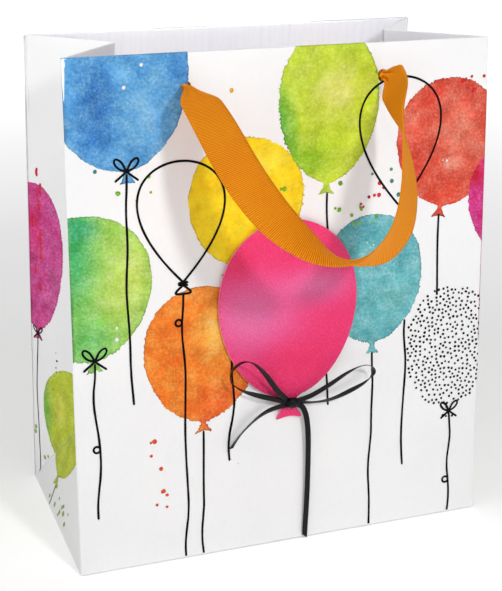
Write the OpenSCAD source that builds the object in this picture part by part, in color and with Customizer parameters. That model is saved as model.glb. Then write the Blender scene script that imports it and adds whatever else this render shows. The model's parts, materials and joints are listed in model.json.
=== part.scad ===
// Paper gift bag: pinched gussets, ribbon handles, raised balloon card and a satin bow.
// Origin: centre of the base, on the surface it stands on. +Z up, front wall at -Y.

/* [Bag] */
// Width of the front and back walls
bag_w = 215; // [180:1:260]
// Height of a wall, measured along its slope
bag_h = 250; // [235:1:300]
// Depth of the base
bag_d = 110; // [100:1:120]
// Depth of the mouth when the bag stands open
mouth_d = 84; // [78:1:90]

/* [Paper] */
// Thickness of the coated paper
paper_t = 0.4; // [0.3:0.05:0.5]
// Height of the turned-in hem at the mouth
hem_h = 38; // [30:1:45]
// Thickness of the stiffening boards under the hem
board_t = 0.8; // [0.6:0.1:1]
// Height of the stiffening boards
board_h = 32; // [24:1:36]
// Thickness of the loose board on the floor of the bag
base_board_t = 1; // [0.6:0.1:1.5]

/* [Handles] */
// Distance between the two holes of a handle
hole_spacing = 100; // [80:1:120]
// Depth of the holes below the mouth
hole_drop = 16; // [14:1:18]
// Diameter of the punched holes
hole_d = 6; // [5.6:0.1:7]
// Width of the grosgrain ribbon
ribbon_w = 20; // [14:1:22]
// Thickness of the grosgrain ribbon
ribbon_t = 0.6; // [0.4:0.1:0.8]

/* [Balloon card] */
// Width of the balloon
card_w = 72; // [50:1:76]
// Height of the balloon without its neck
card_h = 90; // [70:1:94]
// Thickness of the card
card_t = 0.6; // [0.4:0.1:1]
// Thickness of the foam pads that raise it
foam_t = 2.2; // [1.5:0.1:3]

/* [Bow] */
// Width of the satin ribbon
satin_w = 3.2; // [2:0.1:4]
// Thickness of the satin ribbon
satin_t = 0.3; // [0.2:0.05:0.5]

/* [Hidden] */
$fn = 48;

paper_white = [0.96, 0.96, 0.95];
inside_white = [0.9, 0.9, 0.93];
board_grey = [0.72, 0.7, 0.66];
ribbon_orange = [0.94, 0.57, 0.05];
card_pink = [0.93, 0.2, 0.44];
satin_black = [0.06, 0.06, 0.07];

// Running gap between pieces on different bodies, and the height of the bottom creases
gap = 0.1;
crease_z = paper_t + gap;
half_w = bag_w / 2;
half_d = bag_d / 2;
// Inward lean of the front and back walls
lean = asin((bag_d - mouth_d) / 2 / bag_h);
hole_z = bag_h - hole_drop;

// Vertical crease between a wall and its gusset, from the wall's outer bottom corner
pivot_in = paper_t + gap;
pivot_x = half_w - paper_t;
// Where the gusset halves stop short of the bag's mid-plane and of the diagonal creases
crease_clear = 1.8;
diagonal_clear = 1.6;
// Hems and boards end this far from the side creases
corner_clear = 7;
// Flaps and hems stop this far short of a fold
fold_clear = 1;
gusset_rings = 24;
// Space between a gusset half and its hem, for the twist of the sheet
hem_gap = 0.25;

// The outer bottom flap ends this far behind the centre line, and the inner one overlaps it by this much
outer_flap_end = 20;
flap_overlap = 40;
side_flap_depth = 45;
base_board_margin = 4;

// Hem and board width, and the glued seam strip with its distance from the side crease, base and hem
hem_w = bag_w - 2 * corner_clear;
board_w = hem_w - 2 * fold_clear;
seam_w = 15;
seam_side = 3;
seam_foot = 4;
seam_top = 6;

// Handle ends: gathered stub through the hole, overhand knot and cut tail inside the wall
stub_r = 2.4;
stub_end = 5.2;
knot_ring_r = 3.4;
knot_cord_r = 2;
knot_tail = [9, 0.6, 20];
// The ribbon is gathered where it leaves its stub, and opens to its full width over this length
handle_gather_w = 5;
handle_gather_t = 2.2;
handle_gather_length = 22;

// Handle route: share of the way from the middle to a hole, out from the wall and up from the holes,
// with the ribbon's width direction. The handle turns about the line through its two ends.
handle_route = [
    [-1, 8, 0], [-0.97, 16, -5], [-0.91, 28, -15], [-0.84, 40, -27], [-0.72, 49, -40],
    [-0.54, 56, -53], [-0.3, 62, -64], [-0.06, 65, -70], [0.18, 65, -71], [0.42, 64, -67],
    [0.62, 59, -58], [0.74, 52, -46], [0.82, 43, -33], [0.9, 31, -19], [0.97, 18, -7], [1, 8, 0]
];
handle_width_dir = [
    [1, -0.3, 0], [1, -0.2, 0], [1, -0.1, 0.1], [0.95, -0.1, 0.2], [0.9, -0.25, 0.35],
    [0.8, -0.5, 0.4], [0.5, -0.8, 0.3], [0.15, -1, 0.05], [0, -0.95, -0.3], [0.2, -0.7, -0.65],
    [0.5, -0.5, -0.7], [0.65, -0.5, -0.6], [0.6, -0.5, -0.6], [0.4, -0.6, -0.7],
    [0.1, -0.65, -0.75], [0, -0.6, -0.8]
];

// Bow routes: across, out from the wall and up from the base crease, with width directions
left_loop_route = [
    [-1, 5, 76.5], [-8, 7.5, 84], [-15, 10, 94], [-21, 11, 100.5], [-26.5, 10, 102],
    [-31.5, 8.5, 98], [-32, 7, 92], [-27, 6.5, 87], [-18, 6, 82.5], [-9, 5.2, 79], [-1, 4.4, 76]
];
left_loop_width_dir = [
    [0.7, 0.1, 0.7], [0.7, 0.2, 0.7], [0.6, 0.6, 0.4], [0.2, 0.9, 0.3], [0, 1, 0.1],
    [-0.1, 1, 0], [-0.3, 0.9, 0.1], [-0.3, 0.7, 0.5], [0.1, 0.3, 0.9], [0.2, 0.1, 1], [0.2, 0, 1]
];
right_loop_route = [
    [2.5, 5, 76.5], [10, 7, 79], [19, 9, 84], [28, 10.5, 89.5], [36, 10, 92], [42, 8.5, 90.5],
    [44, 7, 86.5], [40, 6, 81.5], [32, 5.6, 78], [22, 5.2, 75], [12, 4.8, 74.5], [2.5, 4.4, 76]
];
right_loop_width_dir = [
    [-0.5, 0.1, 0.8], [-0.5, 0.1, 0.8], [-0.5, 0.2, 0.8], [-0.4, 0.5, 0.7], [-0.1, 0.9, 0.4],
    [0.1, 1, 0.1], [0.2, 0.9, 0.1], [-0.4, 0.6, 0.7], [-0.4, 0.2, 0.9], [-0.3, 0.5, 0.8],
    [0, 0.7, 0.6], [0, 0.3, 0.9]
];
short_tail_route = [
    [-2, 4.4, 74.5], [-8, 4.6, 74], [-14, 4.4, 72], [-20, 4, 68], [-26, 3.2, 62], [-31, 2.4, 55]
];
short_tail_width_dir = [
    [0.1, 0.1, 1], [0, 0.2, 1], [-0.2, 0.4, 0.8], [-0.5, 0.6, 0.5], [-0.6, 0.7, 0.3], [-0.8, 0.4, 0.3]
];
long_tail_route = [
    [3.5, 4.4, 74.5], [6.5, 4.6, 72.5], [8.6, 4.5, 67], [9.8, 4, 58], [10.3, 3.2, 46],
    [10.3, 2.4, 33], [10, 1.8, 20], [9.6, 1.4, 9], [9.3, 1.2, 1]
];
long_tail_width_dir = [
    [0.4, 0, 0.9], [0.8, 0, 0.5], [1, 0.1, 0.2], [1, 0.1, 0], [1, 0, 0], [1, 0, 0],
    [1, 0, 0], [1, 0, 0], [1, 0, 0]
];
bow_knot_at = [1, 75.8];
bow_knot_r = 2.3;
bow_knot_l = 3;

// Card outline: height of the balloon's middle, then half widths and heights of its flared neck
card_mid = 123;
neck_top = [4, 80];
neck_waist = [3.5, 74];
neck_foot = [7, 67];
card_face = foam_t + card_t;
foam_pad = 12;
foam_pad_at = [[-18, 108], [18, 108], [-18, 142], [18, 142], [0, 90]];

// Ribbon helpers: smooth the hand-placed points, then sweep a flat section along them
function unit(v) = v / norm(v);
function clamp_index(list, i) = list[max(0, min(len(list) - 1, i))];
function spline(list, i, u) =
    let (a = clamp_index(list, i - 1), b = list[i], c = clamp_index(list, i + 1), d = clamp_index(list, i + 2))
    0.5 * (2 * b + (c - a) * u + (2 * a - 5 * b + 4 * c - d) * u * u + (3 * b - a - 3 * c + d) * u * u * u);
function smooth(list, steps) = [
    for (i = [0 : len(list) - 2]) for (k = [0 : steps - 1]) spline(list, i, k / steps),
    list[len(list) - 1]
];
function tangent(line, i) = unit(clamp_index(line, i + 1) - clamp_index(line, i - 1));
function across(dir, along) = unit(dir - (dir * along) * along);
function travelled(line, i) = i == 0 ? 0 : norm(line[i] - line[i - 1]) + travelled(line, i - 1);
// Routes are written as across, out and up; a wall's own axes are across, in and up
function to_wall(route, z) = [for (p = route) [p[0], -p[1], p[2] + z]];
function ramp(value, limit) = let (u = min(1, value / limit)) u * u * (3 - 2 * u);

module flat_sweep(line, dirs, widths, thicks) {
    rings = [
        for (i = [0 : len(line) - 1])
            let (t = tangent(line, i), w = across(dirs[i], t), n = cross(t, w))
            [for (c = [[-1, -1], [1, -1], [1, 1], [-1, 1]])
                line[i] + c[0] * w * widths[i] / 2 + c[1] * n * thicks[i] / 2]
    ];
    last = 4 * (len(line) - 1);
    sides = [
        for (i = [0 : len(line) - 2]) for (k = [0 : 3])
            let (a = 4 * i + k, b = 4 * i + (k + 1) % 4)
            for (face = [[a, b, b + 4], [a, b + 4, a + 4]]) face
    ];
    polyhedron(
        points = [for (ring = rings) for (p = ring) p],
        faces = concat([[3, 2, 1, 0]], sides, [[last, last + 1, last + 2, last + 3]])
    );
}

module satin_ribbon(route, dirs, steps) {
    line = smooth(to_wall(route, 0), steps);
    turned = smooth(to_wall(dirs, 0), steps);
    flat_sweep(line, turned, [for (p = line) satin_w], [for (p = line) satin_t]);
}

module handle_ribbon() {
    steps = 4;
    route = [for (p = handle_route) [p[0] * hole_spacing / 2, p[1], p[2]]];
    line = smooth(to_wall(route, hole_z), steps);
    dirs = smooth(to_wall(handle_width_dir, 0), steps);
    total = travelled(line, len(line) - 1);
    spread = [
        for (i = [0 : len(line) - 1])
            let (s = travelled(line, i)) ramp(min(s, total - s), handle_gather_length)
    ];
    widths = [for (u = spread) handle_gather_w + (ribbon_w - handle_gather_w) * u];
    thicks = [for (u = spread) handle_gather_t + (ribbon_t - handle_gather_t) * u];
    flat_sweep(line, dirs, widths, thicks);
}

// A wall's own axes: x across, y into the bag, z up the slope, with its outer face at y = 0
module at_front() {
    translate([0, -half_d, crease_z]) rotate([-lean, 0, 0]) children();
}

module at_back() {
    mirror([0, 1, 0]) at_front() children();
}

module handle_holes(depth) {
    for (side = [-1, 1])
        translate([side * hole_spacing / 2, -gap, hole_z])
            rotate([-90, 0, 0]) cylinder(d = hole_d, h = depth + 2 * gap);
}

module wall_panel() {
    difference() {
        translate([-half_w, 0, 0]) cube([bag_w, paper_t, bag_h - paper_t]);
        handle_holes(paper_t);
    }
}

// The hem folds over the top edge, covers the board and comes down inside
module wall_hem() {
    inner = paper_t + board_t;
    difference() {
        translate([-hem_w / 2, 0, bag_h - hem_h])
            union() {
                translate([0, inner, 0]) cube([hem_w, paper_t, hem_h]);
                translate([0, 0, hem_h - paper_t]) cube([hem_w, inner + paper_t, paper_t]);
            }
        handle_holes(inner + paper_t);
    }
}

module wall_board() {
    difference() {
        translate([-board_w / 2, paper_t, bag_h - paper_t - board_h]) cube([board_w, board_t, board_h]);
        handle_holes(paper_t + board_t);
    }
}

// Gathered ribbon through the hole, an overhand knot inside and its cut tail
module handle_knot(side) {
    inner = 2 * paper_t + board_t + gap;
    translate([side * hole_spacing / 2, 0, hole_z]) {
        translate([0, -stub_end + stub_r, 0]) sphere(r = stub_r);
        translate([0, -stub_end + stub_r, 0]) rotate([-90, 0, 0])
            cylinder(r = stub_r, h = stub_end - stub_r + inner + knot_cord_r);
        translate([0, inner + knot_cord_r, 0]) rotate([90, 0, 0])
            rotate_extrude() translate([knot_ring_r, 0]) circle(r = knot_cord_r);
        translate([-knot_tail[0] / 2, inner + knot_cord_r, -knot_tail[2]]) cube(knot_tail);
    }
}

// Half a gusset, right of the front wall: a ruled sheet from the side crease towards the centre crease
function gusset_angle(s) = acos(1 - max(s, half_d) * sin(lean) / half_d);
function crease_point(s) = [
    pivot_x,
    -half_d + s * sin(lean) + pivot_in * cos(lean),
    crease_z + s * cos(lean) - pivot_in * sin(lean)
];
function ruling(s) = [-sin(gusset_angle(s)), cos(gusset_angle(s)), 0];
function outward(s) = [cos(gusset_angle(s)), sin(gusset_angle(s)), 0];
function gusset_point(s, u, lift) = crease_point(s) + u * ruling(s) + lift * outward(s);

module gusset_sheet(stations, starts, ends, low, high) {
    corners = [
        for (i = [0 : len(stations) - 1])
            for (c = [[starts[i], low], [ends[i], low], [ends[i], high], [starts[i], high]])
                gusset_point(stations[i], c[0], c[1])
    ];
    last = 4 * (len(stations) - 1);
    sides = [
        for (i = [0 : len(stations) - 2]) for (k = [0 : 3])
            let (a = 4 * i + k, b = 4 * i + (k + 1) % 4)
            for (face = [[a, b + 4, b], [a, a + 4, b + 4]]) face
    ];
    polyhedron(points = corners, faces = concat([[0, 1, 2, 3]], sides, [[last + 3, last + 2, last + 1, last]]));
}

module gusset_half() {
    full = half_d - pivot_in - crease_clear;
    foot = 4 * diagonal_clear;
    knee = full + diagonal_clear * sqrt(2);
    stations = [foot, for (i = [0 : gusset_rings]) knee + (bag_h - paper_t - knee) * i / gusset_rings];
    ends = [for (s = stations) min(full, s - diagonal_clear * sqrt(2))];
    color(paper_white) gusset_sheet(stations, [for (s = stations) gap], ends, 0, paper_t);
}

module gusset_half_hem() {
    rings = 4;
    stations = [for (i = [0 : rings]) bag_h - paper_t - hem_h + hem_h * i / rings];
    starts = [for (s = stations) corner_clear];
    ends = [for (s = stations) half_d - pivot_in - crease_clear - fold_clear];
    color(inside_white) gusset_sheet(stations, starts, ends, -paper_t - hem_gap, -hem_gap);
}

module base_triangle() {
    reach = half_d - diagonal_clear * sqrt(2);
    color(paper_white)
        translate([pivot_x, 0, crease_z]) rotate([0, -gusset_angle(0), 0])
            rotate([90, 0, 90]) linear_extrude(paper_t) polygon([[-reach, 0], [reach, 0], [0, reach]]);
}

module bottom_outer_flap() {
    size = [bag_w - 2 * fold_clear, half_d + outer_flap_end, paper_t];
    color(paper_white) translate([-size[0] / 2, -half_d, 0]) cube(size);
}

// Lies on the outer flap, then steps down to the ground behind it
module bottom_inner_flap() {
    step = outer_flap_end + gap;
    start = outer_flap_end - flap_overlap;
    color(paper_white)
        translate([-half_w + fold_clear, 0, 0]) rotate([90, 0, 90]) linear_extrude(bag_w - 2 * fold_clear)
            polygon([
                [start, paper_t], [step, paper_t], [step, 0], [half_d, 0], [half_d, paper_t],
                [step + paper_t, paper_t], [step + paper_t, 2 * paper_t], [start, 2 * paper_t]
            ]);
}

module bottom_side_flap() {
    reach = half_d - fold_clear;
    edge = half_w - fold_clear;
    tip = reach - side_flap_depth;
    color(paper_white) translate([0, 0, 2 * paper_t]) linear_extrude(paper_t)
        polygon([[edge, -reach], [edge, reach], [edge - side_flap_depth, tip], [edge - side_flap_depth, -tip]]);
}

module bottom_left_flap() { mirror([1, 0, 0]) bottom_side_flap(); }
module bottom_right_flap() { bottom_side_flap(); }

module base_board() {
    size = [bag_w - 2 * base_board_margin, bag_d - 2 * base_board_margin, base_board_t];
    color(board_grey) translate([-size[0] / 2, -size[1] / 2, 3 * paper_t]) cube(size);
}

module front_panel() { color(paper_white) at_front() wall_panel(); }
module back_panel() { color(paper_white) at_back() wall_panel(); }
module front_hem() { color(inside_white) at_front() wall_hem(); }
module back_hem() { color(inside_white) at_back() wall_hem(); }
module front_board() { color(board_grey) at_front() wall_board(); }
module back_board() { color(board_grey) at_back() wall_board(); }
module front_left_knot() { color(ribbon_orange) at_front() handle_knot(-1); }
module front_right_knot() { color(ribbon_orange) at_front() handle_knot(1); }
module back_left_knot() { color(ribbon_orange) at_back() handle_knot(-1); }
module back_right_knot() { color(ribbon_orange) at_back() handle_knot(1); }

// Glued strip that closes the paper tube, inside the back wall
module side_seam_flap() {
    size = [seam_w, paper_t, bag_h - hem_h - seam_foot - seam_top];
    color(inside_white) at_back() translate([-half_w + seam_side, paper_t, seam_foot]) cube(size);
}

module front_right_gusset() { gusset_half(); }
module front_left_gusset() { mirror([1, 0, 0]) gusset_half(); }
module back_right_gusset() { mirror([0, 1, 0]) gusset_half(); }
module back_left_gusset() { mirror([1, 0, 0]) mirror([0, 1, 0]) gusset_half(); }
module front_right_gusset_hem() { gusset_half_hem(); }
module front_left_gusset_hem() { mirror([1, 0, 0]) gusset_half_hem(); }
module back_right_gusset_hem() { mirror([0, 1, 0]) gusset_half_hem(); }
module back_left_gusset_hem() { mirror([1, 0, 0]) mirror([0, 1, 0]) gusset_half_hem(); }
module right_triangle() { base_triangle(); }
module left_triangle() { mirror([1, 0, 0]) base_triangle(); }

module front_handle() { color(ribbon_orange) at_front() handle_ribbon(); }
module back_handle() { color(ribbon_orange) at_back() handle_ribbon(); }

// Balloon outline with its narrow end down, then the flared neck below it
function balloon_point(a) = [
    sin(a) * card_w / 2 * (1 + 0.1 * cos(a)),
    card_mid + cos(a) * card_h / 2
];

module balloon_card() {
    outline = [for (a = [0 : 5 : 355]) balloon_point(a)];
    neck = [
        neck_top, neck_waist, neck_foot, [0, neck_foot[1] + 1],
        [-neck_foot[0], neck_foot[1]], [-neck_waist[0], neck_waist[1]], [-neck_top[0], neck_top[1]]
    ];
    color(card_pink) at_front() translate([0, -foam_t, 0]) rotate([90, 0, 0]) linear_extrude(card_t) {
        polygon(outline);
        polygon(neck);
    }
}

module foam_pads() {
    color("white") at_front()
        for (at = foam_pad_at)
            translate([at[0] - foam_pad / 2, -foam_t, at[1] - foam_pad / 2])
                cube([foam_pad, foam_t, foam_pad]);
}

// The bow is tied round the neck, so its knot sits on the card
module bow_knot() {
    color(satin_black) at_front()
        translate([bow_knot_at[0], -card_face - gap - bow_knot_r, bow_knot_at[1]]) rotate([0, 90, 0]) {
            cylinder(r = bow_knot_r, h = bow_knot_l, center = true);
            for (side = [-1, 1]) translate([0, 0, side * bow_knot_l / 2]) sphere(r = bow_knot_r);
        }
}

module bow_left_loop() { color(satin_black) at_front() satin_ribbon(left_loop_route, left_loop_width_dir, 4); }
module bow_right_loop() { color(satin_black) at_front() satin_ribbon(right_loop_route, right_loop_width_dir, 4); }
module bow_short_tail() { color(satin_black) at_front() satin_ribbon(short_tail_route, short_tail_width_dir, 4); }
module bow_long_tail() { color(satin_black) at_front() satin_ribbon(long_tail_route, long_tail_width_dir, 4); }

bottom_outer_flap();
bottom_inner_flap();
bottom_left_flap();
bottom_right_flap();
base_board();
front_panel();
front_hem();
front_board();
front_left_knot();
front_right_knot();
back_panel();
back_hem();
back_board();
back_left_knot();
back_right_knot();
side_seam_flap();
front_left_gusset();
front_right_gusset();
back_left_gusset();
back_right_gusset();
front_left_gusset_hem();
front_right_gusset_hem();
back_left_gusset_hem();
back_right_gusset_hem();
left_triangle();
right_triangle();
front_handle();
back_handle();
balloon_card();
foam_pads();
bow_knot();
bow_left_loop();
bow_right_loop();
bow_short_tail();
bow_long_tail();
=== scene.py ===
import json
import math

import bmesh
import bpy
import numpy as np
from mathutils import Matrix, Vector, noise
from mathutils.geometry import delaunay_2d_cdt

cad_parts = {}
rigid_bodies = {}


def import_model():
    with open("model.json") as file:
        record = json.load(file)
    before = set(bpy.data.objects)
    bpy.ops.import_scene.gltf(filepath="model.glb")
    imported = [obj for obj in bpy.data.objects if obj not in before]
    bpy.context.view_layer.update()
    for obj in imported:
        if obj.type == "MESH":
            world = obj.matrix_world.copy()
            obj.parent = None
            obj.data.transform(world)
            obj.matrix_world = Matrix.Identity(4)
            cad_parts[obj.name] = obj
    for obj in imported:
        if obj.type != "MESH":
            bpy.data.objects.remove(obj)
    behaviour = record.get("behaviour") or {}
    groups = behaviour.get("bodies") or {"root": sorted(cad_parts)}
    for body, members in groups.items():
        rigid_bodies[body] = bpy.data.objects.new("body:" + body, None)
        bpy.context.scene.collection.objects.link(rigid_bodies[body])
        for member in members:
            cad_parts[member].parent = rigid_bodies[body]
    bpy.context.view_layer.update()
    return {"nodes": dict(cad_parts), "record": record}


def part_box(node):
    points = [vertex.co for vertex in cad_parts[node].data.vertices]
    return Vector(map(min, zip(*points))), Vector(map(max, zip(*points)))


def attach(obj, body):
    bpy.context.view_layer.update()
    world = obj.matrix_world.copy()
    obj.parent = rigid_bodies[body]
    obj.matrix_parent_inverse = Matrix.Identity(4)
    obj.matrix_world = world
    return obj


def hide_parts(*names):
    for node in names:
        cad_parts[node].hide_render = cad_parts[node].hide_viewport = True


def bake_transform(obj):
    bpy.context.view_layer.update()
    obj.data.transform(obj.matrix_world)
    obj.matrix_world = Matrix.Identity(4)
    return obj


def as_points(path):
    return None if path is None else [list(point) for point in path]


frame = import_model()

MM = 0.001

# ---------------------------------------------------------------- sizes in mm, the first ones from the frame
JOINTS = {j["name"]: j for j in frame["record"]["behaviour"]["joints"]}
LEAN_AT = JOINTS["front_wall_lean"]["pos_m"]
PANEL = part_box("front_panel")
HALF_W = (PANEL[1][0] - PANEL[0][0]) / 2 / MM
HALF_D = -LEAN_AT[1] / MM
CREASE_Z = LEAN_AT[2] / MM
BAG_H = 250.0
MOUTH_D = 84.0
HEM_H = 38.0
PAPER = 0.4
BOARD = 0.8
EDGE_R = 0.9  # rounding of the walls' creases
TURN_R = (PAPER + BOARD) / 2  # the paper's turn over the board at the mouth
TURN_UP = BAG_H - TURN_R - PAPER / 2
HOLE_UP = 234.0
HOLE_X = 50.0
HOLE_R = 3.0
FOAM_T = 2.2
CARD_T = 0.6
RIB = 0.78  # pitch of the grosgrain's ribs
SIN = (HALF_D * 2 - MOUTH_D) / 2 / BAG_H
COS = math.sqrt(1 - SIN * SIN)


def wall(x, up, out):
    """Front wall: across, up the slope, out of the outer face; arrays or numbers, in mm."""
    y = -HALF_D - out * COS + up * SIN
    z = CREASE_Z + out * SIN + up * COS
    return np.stack(np.broadcast_arrays(x, y, z), -1)


def bulge(x, up):
    """How far the paper bows out of its flat plane; the creases and the boarded top stay straight."""
    u = np.clip(np.asarray(up, float) / (BAG_H - HEM_H), 0, 1)
    v = np.clip(np.asarray(x, float) / HALF_W, -1, 1)
    bow = 0.9 * (1 - v * v) * np.sin(math.pi * u) ** 2
    ripple = 0.22 * np.sin(v * 7.1 + u * 3.3) * np.sin(math.pi * u) * (1 - v * v)
    return bow + ripple


# pieces are made at the front or at the left; these signs on x and y put them elsewhere
FLIP = {"front": (1, 1), "back": (1, -1), "turn": (-1, -1), "right": (-1, 1)}


def placed(points, how):
    return np.asarray(points, float) * np.array([*FLIP[how], 1.0])


# ---------------------------------------------------------------- small helpers
def link(obj):
    bpy.context.scene.collection.objects.link(obj)
    return obj


def make(name, verts, faces, mats, ids=None, fix=True):
    """A smooth mesh object from points in mm. ids are its faces' material slots; fix turns faces outwards."""
    me = bpy.data.meshes.new(name)
    faces = [tuple(int(i) for i in f) for f in faces]
    me.from_pydata([tuple(v) for v in np.asarray(verts, float) * MM], [], faces)
    for m in mats if isinstance(mats, (list, tuple)) else [mats]:
        me.materials.append(m)
    if ids is not None:
        me.polygons.foreach_set("material_index", list(ids))
    me.polygons.foreach_set("use_smooth", [True] * len(me.polygons))
    if fix:
        bm = bmesh.new()
        bm.from_mesh(me)
        bmesh.ops.recalc_face_normals(bm, faces=bm.faces)
        bm.to_mesh(me)
        bm.free()
    me.update()
    return link(bpy.data.objects.new(name, me))


def set_uv(obj, uv):
    """Give each vertex its place on the flat piece, from pairs in mm."""
    me = obj.data
    layer = me.uv_layers.new(name="flat")
    idx = np.empty(len(me.loops), int)
    me.loops.foreach_get("vertex_index", idx)
    layer.data.foreach_set("uv", (np.asarray(uv, float) * MM)[idx].ravel())


def sharp(obj, angle):
    """Mark the edges that turn by more than an angle in degrees."""
    me = obj.data
    bm = bmesh.new()
    bm.from_mesh(me)
    for e in bm.edges:
        e.smooth = not (len(e.link_faces) == 2 and e.calc_face_angle(0) > math.radians(angle))
    bm.to_mesh(me)
    bm.free()


def catmull(points, steps, closed=False):
    """A smooth curve through points, with a number of steps between each two."""
    p = np.asarray(points, float)
    n = len(p)
    out = []
    for i in range(n if closed else n - 1):
        k = (lambda j: j % n) if closed else (lambda j: max(0, min(n - 1, j)))
        a, b, c, d = p[k(i - 1)], p[k(i)], p[k(i + 1)], p[k(i + 2)]
        for s in range(steps):
            u = s / steps
            out.append(0.5 * (2 * b + (c - a) * u + (2 * a - 5 * b + 4 * c - d) * u * u
                              + (3 * b - a - 3 * c + d) * u ** 3))
    if not closed:
        out.append(p[-1])
    return np.array(out)


def resample(p, step, extra=None):
    """Even steps along a line, each with its length so far; extra is carried along with the points."""
    s = np.concatenate([[0], np.cumsum(np.linalg.norm(np.diff(p, axis=0), axis=1))])
    n = max(2, int(round(s[-1] / step)) + 1)
    t = np.linspace(0, s[-1], n)
    q = np.stack([np.interp(t, s, p[:, k]) for k in range(p.shape[1])], -1)
    if extra is None:
        return q, t
    return q, t, np.stack([np.interp(t, s, extra[:, k]) for k in range(extra.shape[1])], -1)


def paint_points(me, colors):
    """Store a linear colour at each vertex, for the materials that read it."""
    attribute = me.color_attributes.new("paint", "FLOAT_COLOR", "POINT")
    attribute.data.foreach_set("color", np.array([(*c, 1.0) for c in colors], float).ravel())


def slab_faces(rows, cols, turn=0):
    """Faces of a thin closed sheet of two layers of rows by cols points, and the material slot of each: 1 on
    the second layer and on the first from row turn, 0 elsewhere."""
    layer = rows * cols
    faces, slots = [], []
    for i in range(rows - 1):
        a = i * cols
        for j in range(cols - 1):
            faces.append((a + j, a + j + 1, a + cols + j + 1, a + cols + j))
            faces.append((layer + a + j, layer + a + cols + j, layer + a + cols + j + 1, layer + a + j + 1))
            slots += [int(i >= turn), 1]
        for j in (0, cols - 1):
            faces.append((a + j, a + cols + j, layer + a + cols + j, layer + a + j))
            slots.append(0)
    for a in (0, (rows - 1) * cols):
        faces += [(a + j, layer + a + j, layer + a + j + 1, a + j + 1) for j in range(cols - 1)]
        slots += [0] * (cols - 1)
    return faces, slots


def ring_faces(rings, sides, closed=False):
    """Quads between rings of points that all have the same number of sides."""
    faces = []
    for i in range(rings if closed else rings - 1):
        for j in range(sides):
            b, c = (i + 1) % rings, (j + 1) % sides
            faces.append((i * sides + j, b * sides + j, b * sides + c, i * sides + c))
    return faces


def merged(parts):
    """One list each of vertices, faces and flat places from several (vertices, faces, places)."""
    verts, faces, flats = [], [], []
    for v, f, flat in parts:
        faces += [tuple(i + len(verts) for i in face) for face in f]
        verts += list(v)
        flats += list(flat)
    return verts, faces, flats


def unit(v):
    return v / np.maximum(np.linalg.norm(v, axis=-1, keepdims=True), 1e-9)


def smoothstep(t):
    t = np.clip(t, 0, 1)
    return t * t * (3 - 2 * t)


def lin(c):
    """A colour from 0 to 255 as linear light."""
    c = np.asarray(c, float) / 255
    return np.where(c <= 0.04045, c / 12.92, ((c + 0.055) / 1.055) ** 2.4)


# ---------------------------------------------------------------- camera
# It was fitted to the bag's corners in the photograph; the shifts are shares of the picture's longer side
AZ, EL, ROLL = math.radians(-17.92), math.radians(15.40), math.radians(-0.22)
TARGET = Vector((-58.6, -HALF_D, 182.1)) * MM
BACK = Vector((math.sin(AZ) * math.cos(EL), -math.cos(AZ) * math.cos(EL), math.sin(EL)))
EYE_DISTANCE = 0.5699
EYE = TARGET + BACK * EYE_DISTANCE
RIGHT0 = Vector((math.cos(AZ), math.sin(AZ), 0))
UP0 = BACK.cross(RIGHT0)
RIGHT = math.cos(ROLL) * RIGHT0 + math.sin(ROLL) * UP0
UP = -math.sin(ROLL) * RIGHT0 + math.cos(ROLL) * UP0
cam_data = bpy.data.cameras.new("camera")
cam_data.lens = 76.04
cam_data.sensor_width = 36
cam_data.shift_x = 0.126904
cam_data.shift_y = -0.152284
cam_data.clip_start = 0.02
camera = link(bpy.data.objects.new("camera", cam_data))
camera.matrix_world = Matrix.Translation(EYE) @ Matrix((RIGHT, UP, BACK)).transposed().to_4x4()
bpy.context.scene.camera = camera
bpy.context.scene.view_settings.view_transform = "Standard"
bpy.context.scene.view_settings.look = "None"


# ---------------------------------------------------------------- materials
def material(name, color, rough, **sockets):
    """A Principled material; sockets are named with _ for a space."""
    m = bpy.data.materials.new(name)
    m.use_nodes = True
    b = m.node_tree.nodes["Principled BSDF"]
    b.inputs["Base Color"].default_value = (*lin(color), 1)
    b.inputs["Roughness"].default_value = rough
    for key, value in sockets.items():
        b.inputs[key.replace("_", " ")].default_value = value
    return m


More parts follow.
